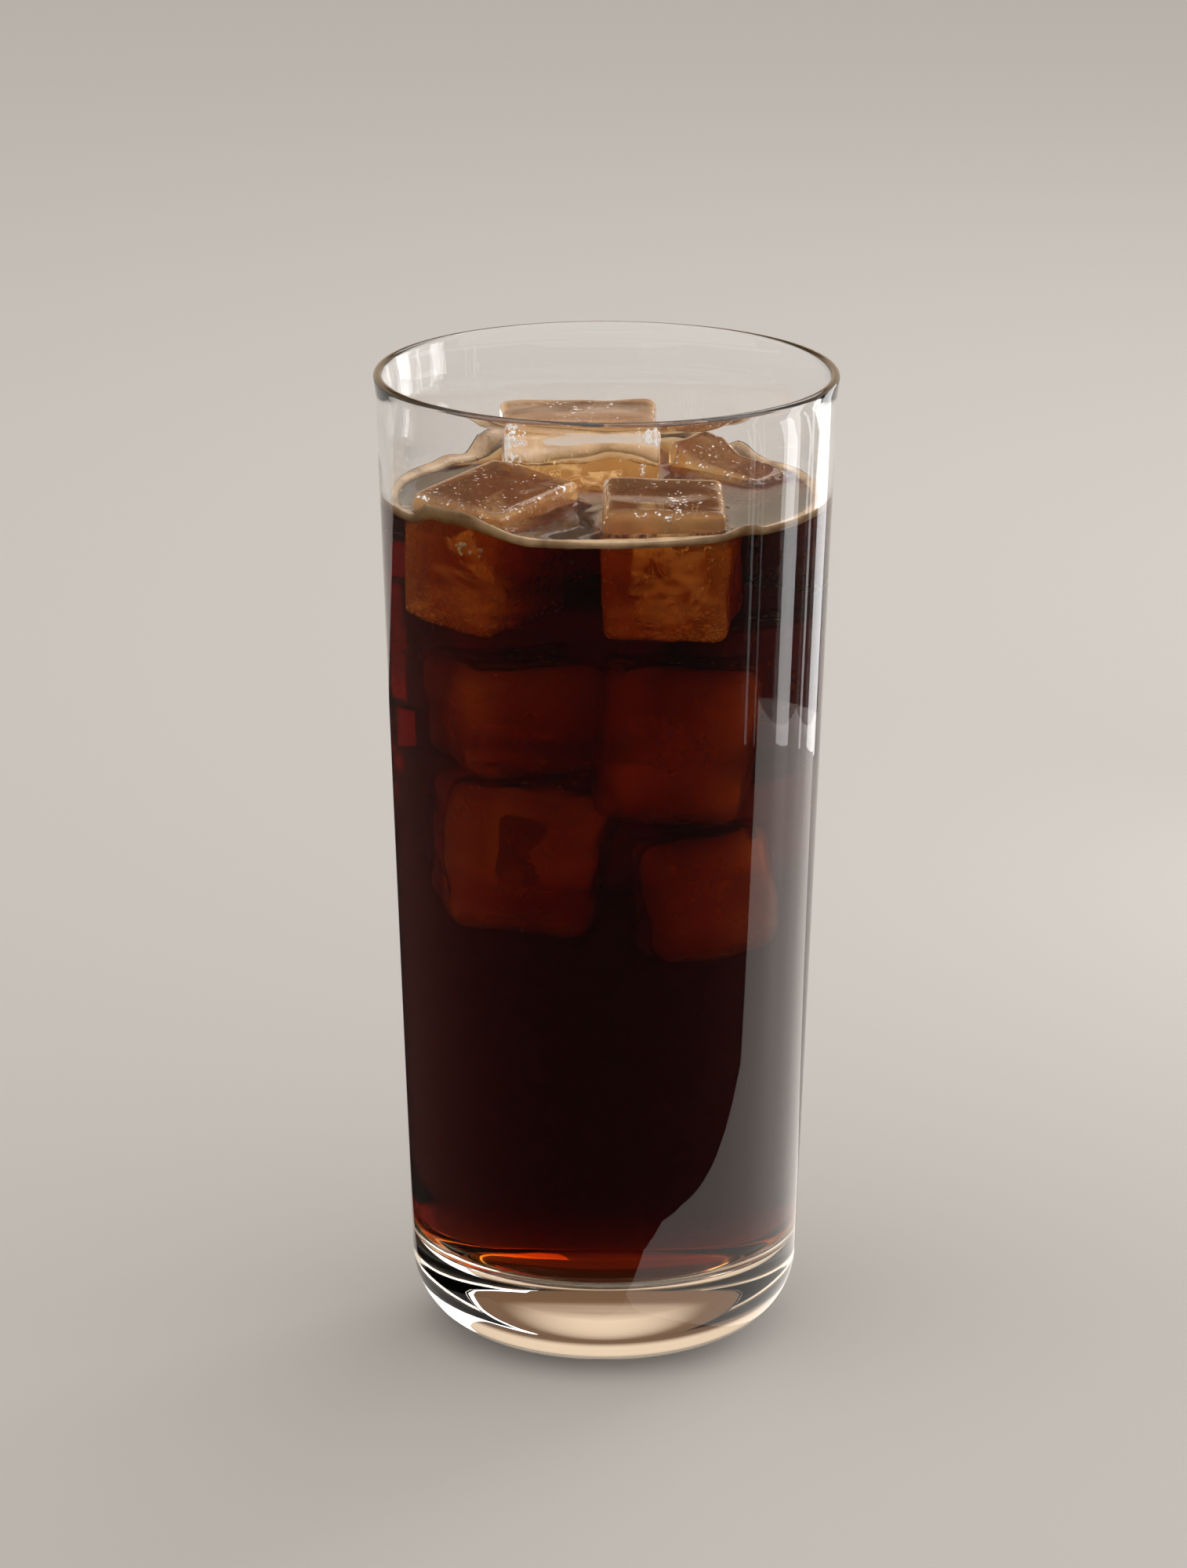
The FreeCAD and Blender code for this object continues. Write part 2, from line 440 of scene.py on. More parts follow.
def crack_in(facts, turns, name, depth):
    """A crumpled sheet inside a block, at a share of its depth."""
    top, size, block_turns, _ = facts
    bpy.ops.object.select_all(action="DESELECT")
    bpy.ops.mesh.primitive_grid_add(x_subdivisions=20, y_subdivisions=20, size=1)
    sheet = bpy.context.object
    sheet.name = name
    bpy.ops.object.mode_set(mode="EDIT")
    bpy.ops.mesh.select_all(action="SELECT")
    bpy.ops.mesh.subdivide(number_cuts=1)
    bpy.ops.object.mode_set(mode="OBJECT")
    sheet.scale = (size[0] * SHEET_SHARE * MM, size[1] * SHEET_SHARE * MM, 1)
    sheet.rotation_euler = [math.radians(a + b) for a, b in zip(block_turns, turns)]
    sheet.location = [top[0] * MM, top[1] * MM, (top[2] - size[2] * depth) * MM]
    apply_place(sheet)
    apply_modifier(
        sheet,
        "DISPLACE",
        texture=crack_texture,
        texture_coords="GLOBAL",
        strength=CRUMPLE,
        mid_level=0.5,
    )
    apply_modifier(sheet, "SOLIDIFY", thickness=CRACK_WIDTH, offset=0)
    bpy.ops.object.shade_smooth()
    return sheet


sheets = []
for i, facts in enumerate(SHOWN_ICE.values()):
    for kind, (turns, depth) in SHEETS.items():
        sheets.append(crack_in(facts, turns, f"{kind}_{i}", depth))
join_into(sheets[0], sheets[1:])
cracks = sheets[0]
cracks.name = "ice_cracks"
print("cracks", tris(cracks), "triangles")

# %% [markdown]
# ## The coffee
# One body of liquid that reaches a hair into the glass, so that no air shows between them. Its
# surface climbs at the wall and round each block, and it is drawn up most between the front left
# block and the glass. Every block needs a hollow of its own in the liquid, a hair smaller than
# the block, because ice swallows no light: so the drink glows amber where a block nears the
# glass, and is black below the ice.

# %% Coffee body
REACH = 0.25 * MM
MENISCUS = 0.9 * MM
CLIMB = 1.3 * MM  # how quickly the climb at a wall dies away
SURFACE_RINGS = 44
RING_SPACING = 1.15  # above 1, the rings lie closer together near the wall
UNDER_LEVEL = LEVEL - 0.1 * MM  # a ring close below the surface keeps the wall smooth
TOP_RADIUS = inside_radius(LEVEL + MENISCUS) + REACH


def coffee_outline():
    """From the floor's middle out, up the wall to the level, and back in across the surface."""
    corner = floor_outline(REACH)[::-1]
    floor = [(corner[0][0] * i / 6, FLOOR - REACH) for i in range(1, 6)]
    wall_end = (TOP_RADIUS, LEVEL + MENISCUS)
    under_level = (inside_radius(UNDER_LEVEL) + REACH, UNDER_LEVEL)
    shares = [1 - (i / SURFACE_RINGS) ** RING_SPACING for i in range(1, SURFACE_RINGS)]
    surface = [(TOP_RADIUS * share, LEVEL) for share in shares]
    wall = straight(corner[-1], under_level, 16) + [under_level, wall_end]
    return floor + corner + wall + surface


coffee = turned("black_coffee", coffee_outline(), SEGMENTS)


# %% The climb of the surface
def step_between(low, high, value):
    """0 below low, 1 above high, smooth between."""
    share = min(max((value - low) / (high - low), 0), 1)
    return share * share * (3 - 2 * share)


def hump(azimuth, start, full, fading, end):
    """Rises from start to full and fades from fading to end, in degrees round the glass."""
    return step_between(start, full, azimuth) * (1 - step_between(fading, end, azimuth))


# where the liquid is drawn up between a block and the wall: four azimuths (degrees) and the
# height (mm)
DRAWN_UP = [
    (-60, -51, -41, -19, 2.8),
    (31, 38, 39, 46, 0.9),
    (129, 137, 139, 146, 1.0),
    (146, 156, 159, 169, 1.6),
    (-165, -149, -145, -135, 1.6),
    (-139, -132, -130, -122, 0.6),
]


def azimuth_of(x, y):
    """Degrees round the glass from the front, rising to the right."""
    return math.degrees(math.atan2(x, -y))


def drawn_up(x, y):
    """How far above the level the liquid stands at the wall, at this side of the glass."""
    azimuth = azimuth_of(x, y)
    return sum(hump(azimuth, *where[:4]) * where[4] * MM for where in DRAWN_UP)


def tree_of(piece):
    """A search tree of a piece's surface."""
    points = [vertex.co.copy() for vertex in piece.data.vertices]
    return BVHTree.FromPolygons(points, [tuple(face.vertices) for face in piece.data.polygons])


ice_trees = [tree_of(block) for block in shown.values()]
DRAW_REACH = 2.4 * MM
ICE_CLIMB = 0.8 * MM
TOUCH = 0.05 * MM


def surface_height(x, y):
    """Height of the coffee's surface over a point."""
    gap = max(inside_radius(LEVEL) - math.hypot(x, y), 0)
    near = min(tree.find_nearest(Vector((x, y, LEVEL)))[3] for tree in ice_trees)
    at_wall = MENISCUS * math.exp(-gap / CLIMB)
    drawn = drawn_up(x, y) * math.exp(-((gap / DRAW_REACH) ** 2))
    return LEVEL + at_wall + drawn + ICE_CLIMB * math.exp(-near / CLIMB)


for vertex in coffee.data.vertices:
    x, y, z = vertex.co
    if z > LEVEL - TOUCH:
        on_wall = math.hypot(x, y) > TOP_RADIUS - TOUCH
        vertex.co.z = surface_height(x, y)
        if on_wall:
            stretch = (inside_radius(vertex.co.z) + REACH) / math.hypot(x, y)
            vertex.co.x *= stretch
            vertex.co.y *= stretch

# %% Hollows for the ice
SKIN = 0.16 * MM  # how much smaller a hollow is than its block
FOLD = math.radians(25)  # a sharper fold, as at the coffee's rim, is not smoothed
cutters = [copy_of(block, "hollow") for block in [*shown.values(), *sunk]]
for cutter in cutters:
    grow(cutter, -SKIN)
join_into(cutters[0], cutters[1:])
apply_modifier(coffee, "BOOLEAN", object=cutters[0], operation="DIFFERENCE", solver="EXACT")
bpy.data.objects.remove(cutters[0])
only(coffee)
bpy.ops.object.shade_smooth_by_angle(angle=FOLD)
print("coffee mesh", tris(coffee), "triangles")

# %% [markdown]
# ## The foam
# A tan line of fine foam clings to the glass all the way round, where the coffee wets it. It is a
# ring with a soft, flattened section that follows the liquid up and down, and it spreads over the
# narrow pool in front of the front right block. Beads along its inner edge are its larger
# bubbles, and a few more cling to the glass just under the line.

# %% Foam ring
FOAM_HEIGHT = 1.3 * MM
FOAM_WIDTH = 1.3 * MM
FOAM_SQUARENESS = 0.7
FOAM_LIFT = 0.6  # its middle above the level, as a share of the climb at the wall
FOAM_REACH = 0.12 * MM  # into the glass
# two noises that make it uneven: scale, layer and strength
FOAM_UNEVEN = [(9, 0, 0.14), (30, 2, 0.1)]
SECTION = 0.4  # minor radius of the starting torus, against a major radius of 1
# where the foam is wider: four azimuths (degrees) and the extra width (mm)
FOAM_SPREAD = [(-20, 2, 14, 34, 2.3), (-175, -150, -120, -95, 1.0), (40, 60, 90, 120, 0.4)]


def foam_section(x, y, across_share, up_share):
    """A point of the foam at a side of the glass; the shares run from -1 to 1."""
    azimuth = azimuth_of(x, y)
    width = FOAM_WIDTH + sum(hump(azimuth, *where[:4]) * where[4] * MM for where in FOAM_SPREAD)
    uneven = sum(noise.noise(Vector((x, y, k)) * scale) * part for scale, k, part in FOAM_UNEVEN)
    across_share = math.copysign(abs(across_share) ** FOAM_SQUARENESS, across_share)
    z = LEVEL + MENISCUS * FOAM_LIFT + drawn_up(x, y) + up_share * FOAM_HEIGHT * (1 + uneven) / 2
    radius = inside_radius(z) + FOAM_REACH - width / 2 + across_share * width / 2
    from_wall = (1 - across_share) / 2
    return Vector((x * radius, y * radius, z - from_wall * (drawn_up(x, y) + MENISCUS) / 2))


bpy.ops.object.select_all(action="DESELECT")
bpy.ops.mesh.primitive_torus_add(
    major_segments=384, minor_segments=20, major_radius=1, minor_radius=SECTION
)
foam = bpy.context.object
foam.name = "coffee_foam"
for vertex in foam.data.vertices:
    x, y, z = vertex.co
    ring = math.hypot(x, y)
    vertex.co = foam_section(x / ring, y / ring, (ring - 1) / SECTION, z / SECTION)
bpy.ops.object.shade_smooth()

# %% Beads of foam
random.seed(4)
BEADS = 130
BEAD_RADII = (0.12, 0.34)  # mm
CLUSTER = 12  # bubbles just under the line
CLUSTER_SIDE = (-42, -33)  # degrees
CLUSTER_HEIGHT = (129.0, 130.6)  # mm
CLUSTER_RADII = (0.2, 0.45)  # mm
CLUSTER_REACH = 0.25 * MM  # in from the glass


def bead(place, radius):
    """One small bubble."""
    bpy.ops.mesh.primitive_ico_sphere_add(subdivisions=2, radius=radius, location=place)
    piece = bpy.context.object
    apply_place(piece)
    bpy.ops.object.shade_smooth()
    return piece


beads = []
for i in range(BEADS):
    angle = random.uniform(-math.pi, math.pi)
    side = (math.sin(angle), -math.cos(angle))
    place = foam_section(*side, -random.uniform(0.7, 1.1), random.uniform(-0.2, 0.5))
    beads.append(bead(place, random.uniform(*BEAD_RADII) * MM))
for i in range(CLUSTER):
    angle = math.radians(random.uniform(*CLUSTER_SIDE))
    z = random.uniform(*CLUSTER_HEIGHT) * MM
    reach = inside_radius(z) - CLUSTER_REACH
    place = (reach * math.sin(angle), -reach * math.cos(angle), z)
    beads.append(bead(place, random.uniform(*CLUSTER_RADII) * MM))
join_into(foam, beads)
print("foam mesh", tris(foam), "triangles")


# %% [markdown]
# ## Materials
# Clear glass, ice and coffee are one kind of shader with different refractive indices. The
# coffee's colour comes from absorption inside it, by distance: thin coffee is amber and deep
# coffee black.


# %% Node helpers
def new_material(name):
    """A material with its tree, its surface shader and a function that adds nodes."""
    material = bpy.data.materials.new(name)
    material.use_nodes = True
    tree = material.node_tree

    def add(kind, links=None, **values):
        node = tree.nodes.new(kind)
        for key, value in values.items():
            setattr(node, key, value)
        for socket, source in (links or {}).items():
            if hasattr(source, "is_output"):
                tree.links.new(source, node.inputs[socket])
            else:
                node.inputs[socket].default_value = source
        return node

    return material, tree, tree.nodes["Principled BSDF"], add


def set_values(shader, **values):
    """Sets plain values of a shader by socket name, with underscores for spaces."""
    for name, value in values.items():
        shader.inputs[name.replace("_", " ")].default_value = value


def lets_lamps_through(tree, shader, add):
    """Clear to a lamp's shadow rays, so that what stands inside is lit."""
    path = add("ShaderNodeLightPath")
    clear = add("ShaderNodeBsdfTransparent")
    mix = add("ShaderNodeMixShader", {0: path.outputs["Is Shadow Ray"]})
    tree.links.new(shader.outputs[0], mix.inputs[1])
    tree.links.new(clear.outputs[0], mix.inputs[2])
    tree.links.new(mix.outputs[0], tree.nodes["Material Output"].inputs["Surface"])


# %% [markdown]
# No glass or ice is quite even. One shared group turns stretched noise into a slightly wavy
# normal.

# %% Wavy surface group
WAVE_DEPTH = 0.2 * MM
wavy = bpy.data.node_groups.new("wavy_surface", "ShaderNodeTree")
for socket, kind in (
    ("Scale", "NodeSocketFloat"),
    ("Stretch", "NodeSocketVector"),
    ("Strength", "NodeSocketFloat"),
):
    wavy.interface.new_socket(socket, in_out="INPUT", socket_type=kind)
wavy.interface.new_socket("Normal", in_out="OUTPUT", socket_type="NodeSocketVector")
into = wavy.nodes.new("NodeGroupInput")
out_of = wavy.nodes.new("NodeGroupOutput")
place = wavy.nodes.new("ShaderNodeTexCoord")
stretch = wavy.nodes.new("ShaderNodeMapping")
clouds = wavy.nodes.new("ShaderNodeTexNoise")
bump = wavy.nodes.new("ShaderNodeBump")
bump.inputs["Distance"].default_value = WAVE_DEPTH
wavy.links.new(place.outputs["Object"], stretch.inputs["Vector"])
wavy.links.new(into.outputs["Stretch"], stretch.inputs["Scale"])
wavy.links.new(stretch.outputs[0], clouds.inputs["Vector"])
wavy.links.new(into.outputs["Scale"], clouds.inputs["Scale"])
wavy.links.new(clouds.outputs["Fac"], bump.inputs["Height"])
wavy.links.new(into.outputs["Strength"], bump.inputs["Strength"])
wavy.links.new(bump.outputs[0], out_of.inputs["Normal"])


def make_wavy(tree, shader, add, scale, stretch, strength):
    """Gives a shader the wavy normal."""
    node = add("ShaderNodeGroup", node_tree=wavy)
    node.inputs["Scale"].default_value = scale
    node.inputs["Stretch"].default_value = stretch
    node.inputs["Strength"].default_value = strength
    tree.links.new(node.outputs["Normal"], shader.inputs["Normal"])


# %% [markdown]
# Where coffee wets the glass there is hardly any mirror, since their indices are close. The
# inside faces that it wets therefore have a second glass with no shine of its own.


# %% Clear glass
NEAR_WALL = 0.3 * MM
NEAR_FLOOR = 0.1 * MM


def clear_glass(name, shine):
    """Glass whose mirror is weakened at right angles to the share called shine."""
    material, tree, shader, add = new_material(name)
    set_values(shader, Base_Color=(1, 1, 1, 1), Transmission_Weight=1, IOR=1.5, Roughness=0)
    set_values(shader, Specular_Tint=(shine, shine, shine, 1))
    make_wavy(tree, shader, add, scale=60, stretch=(1, 1, 0.15), strength=0.15)
    lets_lamps_through(tree, shader, add)
    return material


tumbler.data.materials.append(clear_glass("clear_glass", 0.8))
tumbler.data.materials.append(clear_glass("wetted_glass", 0))
for face in tumbler.data.polygons:
    middle = face.center
    reach = math.hypot(middle.x, middle.y)
    off_wall = inside_radius(middle.z) - reach
    on_wall = abs(off_wall) < NEAR_WALL and face.normal.dot(middle) < 0
    on_floor = FLOOR - NEAR_FLOOR < middle.z < FLOOR + FLOOR_CORNER and off_wall > 0
    wet_to = LEVEL + MENISCUS / 2 + drawn_up(middle.x, middle.y)
    if middle.z < wet_to and (on_wall or on_floor):
        face.material_index = 1
print("wetted faces", sum(face.material_index for face in tumbler.data.polygons))

# %% Ice
ICE_SHINE = 0.4
ice_material, tree, shader, add = new_material("clear_ice")
set_values(shader, Base_Color=(1, 1, 1, 1), Transmission_Weight=1, IOR=1.31, Roughness=0.02)
set_values(shader, Specular_Tint=(ICE_SHINE, ICE_SHINE, ICE_SHINE, 1))
make_wavy(tree, shader, add, scale=220, stretch=(1, 1, 1), strength=0.3)
lets_lamps_through(tree, shader, add)
for block in [*shown.values(), *sunk]:
    block.data.materials.append(ice_material)

# %% [markdown]
# Frost is many specks. Fine noise is compared with the frost attribute: where that is high nearly
# all of the surface turns to specks, where it is low only a few do. Under the specks lies a thin
# veil: brown on the tops where coffee has dried and pale amber on the sides above the level.
# Below the level veil and specks are painted glow: deep amber and gold stand in for the light
# that reaches the ice through the coffee.

# %% Frost specks
SPECK_SCALE = 1500.0
CLOUD_SCALE = 260.0
DUST = 0.3  # how frosted a dried film is
SHARPNESS = 9.0
frost_and_glow_material, tree, shader, add = new_material("ice_frost_and_glow")
set_values(shader, Roughness=0.5, Specular_IOR_Level=0)
place = add("ShaderNodeTexCoord").outputs["Object"]


def maths(operation, a, b, **settings):
    """The result of a sum on two numbers or sockets."""
    return add("ShaderNodeMath", {0: a, 1: b}, operation=operation, **settings).outputs[0]


def ranged(value, low, high, to_low=0.0, to_high=1.0):
    """A value carried from one range to another, and held inside it."""
    links = {"Value": value, "From Min": low, "From Max": high, "To Min": to_low, "To Max": to_high}
    return add("ShaderNodeMapRange", links).outputs[0]


def mixed(share, a, b):
    """A colour between two colours or sockets."""
    mix = add("ShaderNodeMix", {0: share}, data_type="RGBA")
    for socket, value in (("A", a), ("B", b)):
        if hasattr(value, "is_output"):
            tree.links.new(value, mix.inputs[socket])
        else:
            mix.inputs[socket].default_value = value
    return mix.outputs["Result"]


fine = add("ShaderNodeTexNoise", {"Vector": place, "Scale": SPECK_SCALE, "Detail": 3.0})
broad = {"Vector": place, "Scale": CLOUD_SCALE, "Detail": 4.0, "Distortion": 0.4}
clouds = ranged(add("ShaderNodeTexNoise", broad).outputs["Fac"], 0.35, 0.65)
frosted = add("ShaderNodeAttribute", attribute_name="frost").outputs["Fac"]
filmed = add("ShaderNodeAttribute", attribute_name="film").outputs["Fac"]
hearted = add("ShaderNodeAttribute", attribute_name="heart").outputs["Fac"]
cloudiness = maths("MAXIMUM", frosted, maths("MULTIPLY", filmed, DUST))
amount = maths("MULTIPLY", cloudiness, ranged(clouds, 0, 1, 0.45, 1.25))
over = maths("SUBTRACT", fine.outputs["Fac"], ranged(amount, 0, 1, 0.74, 0.36))
specks = maths("MULTIPLY", over, SHARPNESS, use_clamp=True)

# %% Frost veil
# the last of these is the painted glow veil: below the level an amber sheet over the ice stands in
# for light that reaches it through the coffee
VEIL_CLEAR, VEIL_FILMED, VEIL_PAINTED_GLOW = 0.10, 0.68, 0.52
VEIL_THINNED = 0.6  # where the clouds are thinnest
FADE = 2 * MM  # below the level, until the veil is that of sunk ice
# share of painted glow, rising from the level downwards
painted_glow_share = ranged(add("ShaderNodeSeparateXYZ", {0: place}).outputs["Z"], LEVEL, LEVEL - FADE)
dry_veil = ranged(filmed, 0, 1, VEIL_CLEAR, VEIL_FILMED)
veil = maths("MAXIMUM", dry_veil, maths("MULTIPLY", painted_glow_share, VEIL_PAINTED_GLOW))
veil = maths("MULTIPLY", veil, ranged(clouds, 0, 1, VEIL_THINNED, 1))
veil = maths("MULTIPLY", veil, hearted)
tree.links.new(maths("MAXIMUM", specks, veil), shader.inputs["Alpha"])

# %% Frost colours
# deep amber and gold are painted glow, the colour of light seen through the coffee; pale amber,
# white and the dried brown are stain and frost
PALE_AMBER, PAINTED_GLOW_AMBER = (0.78, 0.42, 0.13, 1), (1.0, 0.40, 0.07, 1)
WHITE, PAINTED_GLOW_GOLD = (0.90, 0.90, 0.90, 1), (1.0, 0.72, 0.30, 1)
DRIED = (0.075, 0.024, 0.005, 1)
veil_colour = mixed(filmed, mixed(painted_glow_share, PALE_AMBER, PAINTED_GLOW_AMBER), DRIED)
speck_colour = mixed(painted_glow_share, WHITE, PAINTED_GLOW_GOLD)
tree.links.new(mixed(specks, veil_colour, speck_colour), shader.inputs["Base Color"])
for skin in frosts:
    skin.data.materials.clear()
    skin.data.materials.append(frost_and_glow_material)

# %% [markdown]
# A crack shows as threads: the thin band where a stretched noise crosses its middle value. A
# light mist lies between the threads.

# %% Crack threads
THREAD = 0.012  # half the band's width, as a share of the noise
THREAD_ALPHA = 0.7
MIST_ALPHA = 0.35
crack_material, tree, shader, add = new_material("ice_crack")
# the amber base colour is painted glow, standing in for light that reaches the cracks through the
# coffee
set_values(shader, Base_Color=(0.95, 0.65, 0.28, 1), Roughness=0.4, Specular_IOR_Level=0.3)
place = add("ShaderNodeTexCoord").outputs["Object"]
crossing = {"Vector": place, "Scale": 210.0, "Detail": 2.0, "Distortion": 2.5}
threads = add("ShaderNodeTexNoise", crossing).outputs["Fac"]
mist = add("ShaderNodeTexNoise", {"Vector": place, "Scale": 320.0, "Detail": 4.0}).outputs["Fac"]
off = maths("ABSOLUTE", maths("SUBTRACT", threads, 0.5), 0.0)
line = ranged(off, 0, THREAD, THREAD_ALPHA, 0)
fog = maths("MULTIPLY", ranged(mist, 0.45, 0.75), MIST_ALPHA)
tree.links.new(maths("MAXIMUM", line, fog), shader.inputs["Alpha"])
cracks.data.materials.append(crack_material)

# %% [markdown]
# The coffee swallows green two and a half times and blue more than five times as fast as red. It
# takes its colour and density from how much of each it swallows per metre.

# %% Coffee
ABSORBS = (80, 205, 430)  # red, green and blue, per metre
DENSITY = 520
COFFEE_SHINE = 0.15
coffee_material, tree, shader, add = new_material("black_coffee")
set_values(shader, Base_Color=(1, 1, 1, 1), Transmission_Weight=1, IOR=1.33, Roughness=0)
set_values(shader, Specular_Tint=(COFFEE_SHINE, COFFEE_SHINE, COFFEE_SHINE, 1))
absorption = add("ShaderNodeVolumeAbsorption", {"Density": float(DENSITY)})
absorption.inputs["Color"].default_value = (*[1 - k / DENSITY for k in ABSORBS], 1)
tree.links.new(absorption.outputs[0], tree.nodes["Material Output"].inputs["Volume"])
coffee.data.materials.clear()
coffee.data.materials.append(coffee_material)

# %% [markdown]
# Foam is matt and tan, lighter and darker in patches, and lumpy with bubbles too small to model.

# %% Foam material
FOAM_DARK, FOAM_LIGHT = (0.20, 0.108, 0.044, 1), (0.43, 0.29, 0.16, 1)
LUMP_DEPTH = 0.1 * MM
foam_material, tree, shader, add = new_material("coffee_foam")
set_values(shader, Roughness=0.4)
place = add("ShaderNodeTexCoord").outputs["Object"]
cells = add("ShaderNodeTexVoronoi", {"Vector": place, "Scale": 1700.0}).outputs["Distance"]
patches = add("ShaderNodeTexNoise", {"Vector": place, "Scale": 260.0, "Detail": 3.0}).outputs["Fac"]
tan = mixed(ranged(patches, 0.35, 0.65), FOAM_DARK, FOAM_LIGHT)
tree.links.new(tan, shader.inputs["Base Color"])
lumps = add("ShaderNodeBump", {"Height": cells, "Strength": 0.4, "Distance": LUMP_DEPTH})
tree.links.new(lumps.outputs[0], shader.inputs["Normal"])
foam.data.materials.append(foam_material)

# %% [markdown]
# ## Floor
# A plain pale sheet. Cards lie round the glass, as in any picture of a dark drink. They are seen
# by mirror rays only, so they never show: three dark ones, at the left, at the right front and
# behind at the right, keep the glass from mirroring the pale floor, and a bright one at the right
# gives the sheen on that side.

# %% Floor
bpy.ops.object.select_all(action="DESELECT")
bpy.ops.mesh.primitive_plane_add(size=8)
floor = bpy.context.object
floor.name = "studio_floor"
floor_material, tree, shader, add = new_material("pale_floor")
set_values(shader, Base_Color=(0.34, 0.325, 0.31, 1), Roughness=1, Specular_IOR_Level=0)
floor.data.materials.append(floor_material)

# %% Cards
dark_material, tree, shader, add = new_material("dark_card")
set_values(shader, Base_Color=(0.012, 0.01, 0.009, 1), Roughness=1, Specular_IOR_Level=0)
bright_material, tree, shader, add = new_material("bright_card")
set_values(shader, Base_Color=(0, 0, 0, 1), Emission_Color=(1, 0.93, 0.86, 1))
set_values(shader, Emission_Strength=1.3)
CARD_LIFT = 0.5 * MM
FAR = 0.9  # outer edge of the dark cards, in metres like all corners below
# where the bright card meets the dark one, from far right to near the glass
SEAM = [(0.335, -0.034), (0.141, -0.034), (0.085, -0.057), (0.056, -0.07)]
SEAM += [(0.040, -0.0745), (0.024, -0.0705), (0.010, -0.058)]
RIGHT_CARD = [(0, -0.045), (0, -FAR), (FAR, -FAR), (FAR, -0.034), *SEAM]
LEFT_CARD = [(0, -0.045), (-0.04, -0.03), (-0.055, 0.35), (-FAR, 0.35), (-FAR, -FAR), (0, -FAR)]
BRIGHT_CARD = [*SEAM[::-1], (0.3, 0.15), (0.2, 0.27), (0.045, 0.06)]
BACK_CARD_RADIUS = 0.34
BACK_CARD_SPAN = (-6, 59)  # degrees from the right, rising towards the back


def lay_card(name, corners, material, lift):
    """A flat card just above the floor, seen by mirror rays only."""
    mesh = bpy.data.meshes.new(name)
    points = [(x, y, lift) for x, y in corners]
    mesh.from_pydata(points, [], [tuple(range(len(points)))])
    card = bpy.data.objects.new(name, mesh)
    bpy.context.scene.collection.objects.link(card)
    mesh.materials.append(material)
    card.visible_camera = card.visible_diffuse = card.visible_transmission = False
    card.visible_shadow = False


lay_card("dark_card", RIGHT_CARD, dark_material, CARD_LIFT)
lay_card("dark_card", LEFT_CARD, dark_material, CARD_LIFT)
lay_card("bright_card", BRIGHT_CARD, bright_material, 2 * CARD_LIFT)
near = arc((0, 0), BACK_CARD_RADIUS, *BACK_CARD_SPAN, 10)
far = arc((0, 0), FAR, *BACK_CARD_SPAN, 10)
lay_card("dark_card", near + far[::-1], dark_material, CARD_LIFT)

# %% [markdown]
# ## Light
# A soft studio. The sky is bright overhead and in front. Low at the back it is a little warmer,
# which lights the base and the liquid from behind, and above that it is dark, which keeps the
# tops of the ice brown. A large lamp high at the back right gives the ground shadow, and a broad
# one at the right, which mirror rays do not see, lights that side. A row of upright lamps at the
# right, like panes of a window, draws the streaks down the glass.

# %% World
LOW_FRONT, LOW_BACK = (1.35, 1.29, 1.22, 1), (0.92, 0.70, 0.49, 1)
BAND_FRONT, BAND_BACK = (1.90, 1.82, 1.72, 1), (0.20, 0.11, 0.06, 1)
OVERHEAD = (1.6, 1.57, 1.52, 1)
FRONT_TO_BACK = ("Y", -0.1, 0.7)  # each a direction's axis and where the change begins and ends
LOW_TO_BAND = ("Z", 0.30, 0.40)
BAND_TO_OVERHEAD = ("Z", 0.55, 0.95)
world = bpy.data.worlds.new("studio")
bpy.context.scene.world = world
world.use_nodes = True
sky = world.node_tree
place = sky.nodes.new("ShaderNodeTexCoord")
apart = sky.nodes.new("ShaderNodeSeparateXYZ")
sky.links.new(place.outputs["Generated"], apart.inputs[0])


def sky_share(axis, low, high):
    """How far the sky's direction runs along an axis, as a smooth share."""
    node = sky.nodes.new("ShaderNodeMapRange")
    node.interpolation_type = "SMOOTHSTEP"
    node.inputs["From Min"].default_value = low
    node.inputs["From Max"].default_value = high
    sky.links.new(apart.outputs[axis], node.inputs["Value"])
    return node.outputs[0]


def sky_mix(share, a, b):
    """Mixes two colours or sockets."""
    node = sky.nodes.new("ShaderNodeMix")
    node.data_type = "RGBA"
    sky.links.new(share, node.inputs[0])
    for socket, value in (("A", a), ("B", b)):
        if hasattr(value, "is_output"):
            sky.links.new(value, node.inputs[socket])
        else:
            node.inputs[socket].default_value = value
    return node.outputs["Result"]


low_tone = sky_mix(sky_share(*FRONT_TO_BACK), LOW_FRONT, LOW_BACK)
band_tone = sky_mix(sky_share(*FRONT_TO_BACK), BAND_FRONT, BAND_BACK)
side_tone = sky_mix(sky_share(*LOW_TO_BAND), low_tone, band_tone)
sky_tone = sky_mix(sky_share(*BAND_TO_OVERHEAD), side_tone, OVERHEAD)
sky.links.new(sky_tone, sky.nodes["Background"].inputs["Color"])


# %% Lamps
def soft_light(name, place, target, size, radiance, spread=180):
    """A rectangular lamp at a place, facing a target."""
    data = bpy.data.lights.new(name, "AREA")
    data.shape = "RECTANGLE"
    data.size, data.size_y = size
    data.energy = radiance * math.pi * size[0] * size[1]
    data.spread = math.radians(spread)
    lamp = bpy.data.objects.new(name, data)
    lamp.location = place
    lamp.rotation_euler = (Vector(target) - Vector(place)).to_track_quat("-Z", "Y").to_euler()
    lamp.visible_camera = False
    bpy.context.scene.collection.objects.link(lamp)
    return lamp


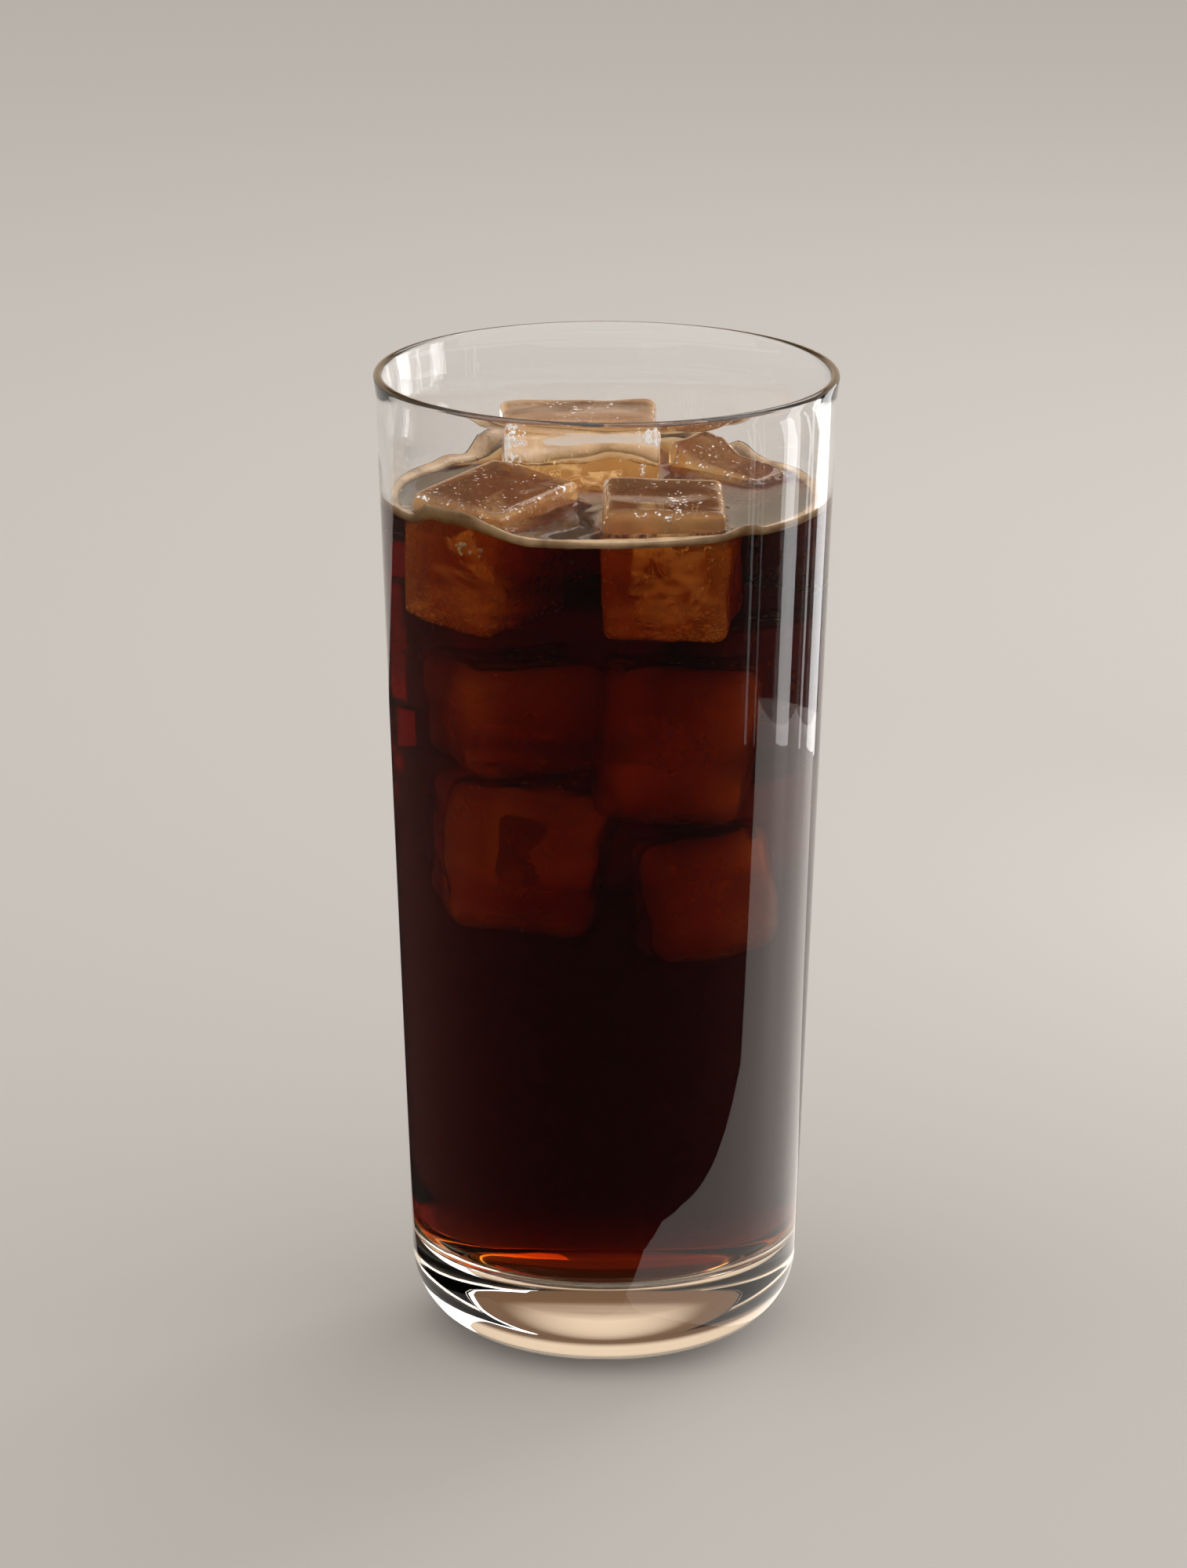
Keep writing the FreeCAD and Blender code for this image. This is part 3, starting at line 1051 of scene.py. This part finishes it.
KEY_PLACE, KEY_TARGET, KEY_SIZE = (0.45, 0.80, 0.85), (0.05, 0.35, 0), (0.6, 0.6)
WINDOW_PLACE, WINDOW_TARGET, WINDOW_SIZE = (0.5, 0.32, 0.22), (0, 0, 0.1), (0.5, 0.36)
soft_light("key", KEY_PLACE, KEY_TARGET, KEY_SIZE, radiance=1.3, spread=90)
window = soft_light("window", WINDOW_PLACE, WINDOW_TARGET, WINDOW_SIZE, radiance=1.6)
window.visible_glossy = False

# %% Panes
PANE_DISTANCE = 0.31
# azimuth and width of a pane (degrees), its height (m) and its brightness
PANES = [
    (76, 1.5, 0.11, 1.2),
    (82, 1.0, 0.11, 0.8),
    (104, 11, 0.14, 3.0),
    (122, 2.5, 0.15, 1.8),
    (139, 15, 0.16, 2.4),
]
for azimuth, width, height, radiance in PANES:
    angle = math.radians(azimuth)
    place = (PANE_DISTANCE * math.sin(angle), -PANE_DISTANCE * math.cos(angle), height / 2)
    size = (math.radians(width) * PANE_DISTANCE, height)
    soft_light("window_pane", place, (0, 0, height / 2), size, radiance)

# %% [markdown]
# ## Camera
# The view is slightly from above, at a natural distance for a table-top picture.

# %% Camera
CAMERA_DISTANCE = 0.9464
CAMERA_HEIGHT = 0.3663
PITCH = 16.48  # degrees down
YAW = -0.11
ROLL = 0.13
LENS = 148.37
FRAME_HEIGHT = 36  # millimetres, like the lens
camera_data = bpy.data.cameras.new("camera")
camera_data.sensor_fit = "VERTICAL"
camera_data.sensor_height = FRAME_HEIGHT
camera_data.lens = LENS
camera_data.clip_start = 0.01
camera = bpy.data.objects.new("camera", camera_data)
camera.location = (0, -CAMERA_DISTANCE, CAMERA_HEIGHT)
camera.rotation_euler = (math.radians(90 - PITCH), 0, math.radians(-YAW))
camera.rotation_euler.rotate_axis("Z", math.radians(ROLL))
bpy.context.scene.collection.objects.link(camera)

# %% [markdown]
# Light bends many times on its way through glass, ice and coffee, so it is followed for long.

# %% Light paths
scene = bpy.context.scene
scene.camera = camera
scene.cycles.max_bounces = 40
scene.cycles.transmission_bounces = 40
scene.cycles.glossy_bounces = 12
scene.cycles.transparent_max_bounces = 24
scene.view_settings.view_transform = "Standard"

# %% [markdown]
# ## Hand over
# Every piece rides on the one body. The tumbler, the coffee and the four shown blocks stand in
# for their solids in the frame; the rest is added to them.

# %% Hand over
STAND_INS = {"tumbler": (tumbler, "clear_glass"), "coffee": (coffee, "black_coffee")}
STAND_INS |= {node: (block, "clear_ice") for node, block in shown.items()}
for node, (piece, slot) in STAND_INS.items():
    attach(piece, "root")
    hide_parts(node)
for piece in [*sunk, *frosts, cracks]:
    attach(piece, "root")
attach(foam, "root")
